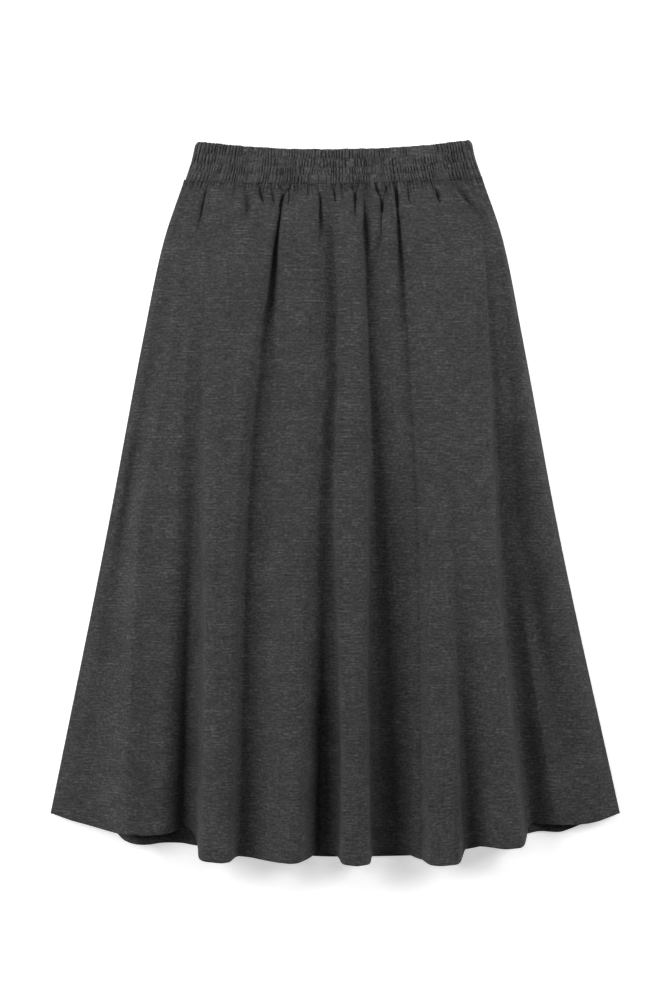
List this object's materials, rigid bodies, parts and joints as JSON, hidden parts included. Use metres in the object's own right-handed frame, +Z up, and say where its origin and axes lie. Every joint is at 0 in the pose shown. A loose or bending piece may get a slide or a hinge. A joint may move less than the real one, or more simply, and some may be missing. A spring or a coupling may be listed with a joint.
{
  "type": "flared skirt with a gathered elastic waistband, laid flat",
  "caption": "Calf-length flared skirt in heathered cloth, laid flat: deep soft flutes spread from a shirred elastic waistband to a turned hem.",
  "frame": {"origin": "middle of the laid outline, on the surface that the skirt lies on", "axes": "+X across the skirt to the right as it is seen from above, +Y from the hem towards the waist, +Z up"},
  "size_m": [0.6586, 0.8291, 0.0586],
  "materials": {
    "skirt_cloth": "soft matte heathered charcoal cloth with fine pale and dark cross flecks",
    "waistband_cloth": "the same cloth shirred over elastic, matte"
  },
  "bodies": {
    "root": {"front_panel": "skirt_cloth", "back_panel": "skirt_cloth", "waistband_front": "waistband_cloth", "waistband_back": "waistband_cloth"}
  },
  "joints": []
}
